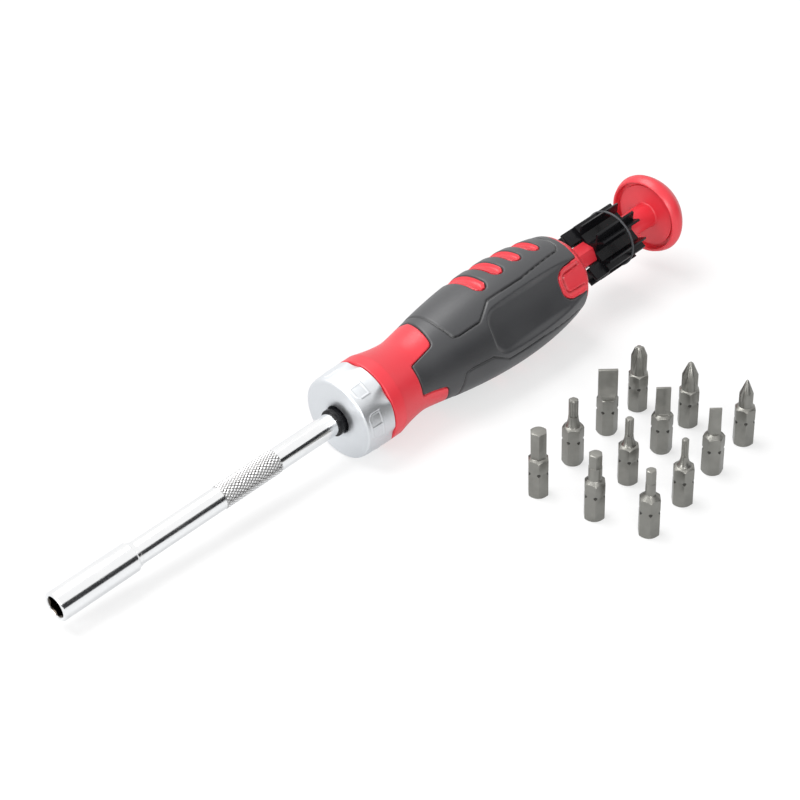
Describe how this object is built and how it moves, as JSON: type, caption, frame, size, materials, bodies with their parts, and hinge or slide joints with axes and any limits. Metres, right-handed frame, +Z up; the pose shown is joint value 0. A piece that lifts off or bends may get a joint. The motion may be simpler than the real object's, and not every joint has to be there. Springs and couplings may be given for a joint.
{
  "type": "ratcheting screwdriver",
  "caption": "Ratcheting screwdriver lying down with its bit magazine pulled out of the handle, next to its loose bits standing on end.",
  "frame": {"origin": "centre of the bounding box's base, on the surface that the driver and its bits rest on", "axes": "+X along the lying driver from its bit socket towards its end cap, +Y away from the loose bits, +Z up"},
  "size_m": [0.2888, 0.1239, 0.0388],
  "materials": {
    "chrome": "bright chrome plate",
    "ring_silver": "satin silver",
    "red_plastic": "moulded, lightly grained",
    "black_grip": "soft matte overmould",
    "black_plastic": "satin moulded",
    "band_rubber": "elastic band",
    "zinc": "die-cast, as cast",
    "tool_steel": "hardened, oiled",
    "spring_steel": "bright drawn",
    "bronze": "sintered",
    "magnet": "nickel plated",
    "bit_steel": "sand-blasted, satin nickel"
  },
  "bodies": {
    "handle": {"handle_core": "red_plastic", "soft_grip": "black_grip", "ratchet_housing": "zinc", "housing_cover": "zinc", "nose_bush": "black_plastic", "ring_retainer": "spring_steel", "pawl_pins": "spring_steel", "pawl_spring_left": "spring_steel", "pawl_spring_right": "spring_steel", "click_spring": "spring_steel", "rear_bush": "bronze"},
    "shaft": {"driver_shaft": "chrome", "socket_sleeve": "chrome", "socket_magnet": "magnet", "ratchet_gear": "tool_steel", "thrust_washer": "bronze", "shaft_circlip": "spring_steel"},
    "selector": {"selector_ring": "ring_silver"},
    "left_pawl": {"pawl_left": "tool_steel"},
    "right_pawl": {"pawl_right": "tool_steel"},
    "click": {"click_ball": "spring_steel"},
    "magazine": {"magazine_stem": "red_plastic", "stem_clip": "spring_steel", "bit_carrier": "black_plastic", "retaining_band": "band_rubber", "end_cap": "red_plastic"},
    "hex_large_bit": {"bit_hex_large": "bit_steel"},
    "hex_medium_bit": {"bit_hex_medium": "bit_steel"},
    "hex_small_bit": {"bit_hex_small": "bit_steel"},
    "star_large_bit": {"bit_star_large": "bit_steel"},
    "star_medium_bit": {"bit_star_medium": "bit_steel"},
    "star_small_bit": {"bit_star_small": "bit_steel"},
    "slot_large_bit": {"bit_slot_large": "bit_steel"},
    "slot_medium_bit": {"bit_slot_medium": "bit_steel"},
    "slot_small_bit": {"bit_slot_small": "bit_steel"},
    "cross_large_bit": {"bit_cross_large": "bit_steel"},
    "cross_medium_bit": {"bit_cross_medium": "bit_steel"},
    "cross_small_bit": {"bit_cross_small": "bit_steel"}
  },
  "joints": [
    {"name": "shaft_spin", "type": "hinge", "parent": "handle", "child": "shaft", "pos_m": [-0.02436, 0.04316, 0.01508], "axis": [0.9986, 0, 0.0523], "continuous": true},
    {"name": "selector_turn", "type": "hinge", "parent": "handle", "child": "selector", "pos_m": [-0.02136, 0.04316, 0.01523], "axis": [0.9986, 0, 0.0523], "range_deg": [-22.5, 22.5]},
    {"name": "magazine_slide", "type": "slide", "parent": "handle", "child": "magazine", "axis": [0.9986, 0, 0.0523], "range_m": [-0.045, 0]},
    {"name": "pawl_left_lift", "type": "hinge", "parent": "handle", "child": "left_pawl", "pos_m": [-0.01968, 0.03737, 0.0079], "axis": [0.9986, 0, 0.0523], "range_deg": [0, 9], "stiffness_Nm_per_rad": 0.002, "springref_deg": -22.92, "deforming": ["pawl_spring_left"]},
    {"name": "pawl_right_lift", "type": "hinge", "parent": "handle", "child": "right_pawl", "pos_m": [-0.02045, 0.03737, 0.0227], "axis": [-0.9986, 0, -0.0523], "range_deg": [0, 9], "stiffness_Nm_per_rad": 0.002, "springref_deg": -22.92, "deforming": ["pawl_spring_right"]},
    {"name": "click_press", "type": "slide", "parent": "handle", "child": "click", "axis": [0, -1, 0], "range_m": [0, 0.0006], "stiffness_N_per_m": 300, "springref_m": -0.001, "deforming": ["click_spring"]},
    {"name": "bit_hex_large_lift", "type": "slide", "parent": "handle", "child": "hex_large_bit", "axis": [0, 0, 1], "range_m": [0, 0.04]},
    {"name": "bit_hex_medium_lift", "type": "slide", "parent": "handle", "child": "hex_medium_bit", "axis": [0, 0, 1], "range_m": [0, 0.04]},
    {"name": "bit_hex_small_lift", "type": "slide", "parent": "handle", "child": "hex_small_bit", "axis": [0, 0, 1], "range_m": [0, 0.04]},
    {"name": "bit_star_large_lift", "type": "slide", "parent": "handle", "child": "star_large_bit", "axis": [0, 0, 1], "range_m": [0, 0.04]},
    {"name": "bit_star_medium_lift", "type": "slide", "parent": "handle", "child": "star_medium_bit", "axis": [0, 0, 1], "range_m": [0, 0.04]},
    {"name": "bit_star_small_lift", "type": "slide", "parent": "handle", "child": "star_small_bit", "axis": [0, 0, 1], "range_m": [0, 0.04]},
    {"name": "bit_slot_large_lift", "type": "slide", "parent": "handle", "child": "slot_large_bit", "axis": [0, 0, 1], "range_m": [0, 0.04]},
    {"name": "bit_slot_medium_lift", "type": "slide", "parent": "handle", "child": "slot_medium_bit", "axis": [0, 0, 1], "range_m": [0, 0.04]},
    {"name": "bit_slot_small_lift", "type": "slide", "parent": "handle", "child": "slot_small_bit", "axis": [0, 0, 1], "range_m": [0, 0.04]},
    {"name": "bit_cross_large_lift", "type": "slide", "parent": "handle", "child": "cross_large_bit", "axis": [0, 0, 1], "range_m": [0, 0.04]},
    {"name": "bit_cross_medium_lift", "type": "slide", "parent": "handle", "child": "cross_medium_bit", "axis": [0, 0, 1], "range_m": [0, 0.04]},
    {"name": "bit_cross_small_lift", "type": "slide", "parent": "handle", "child": "cross_small_bit", "axis": [0, 0, 1], "range_m": [0, 0.04]}
  ]
}
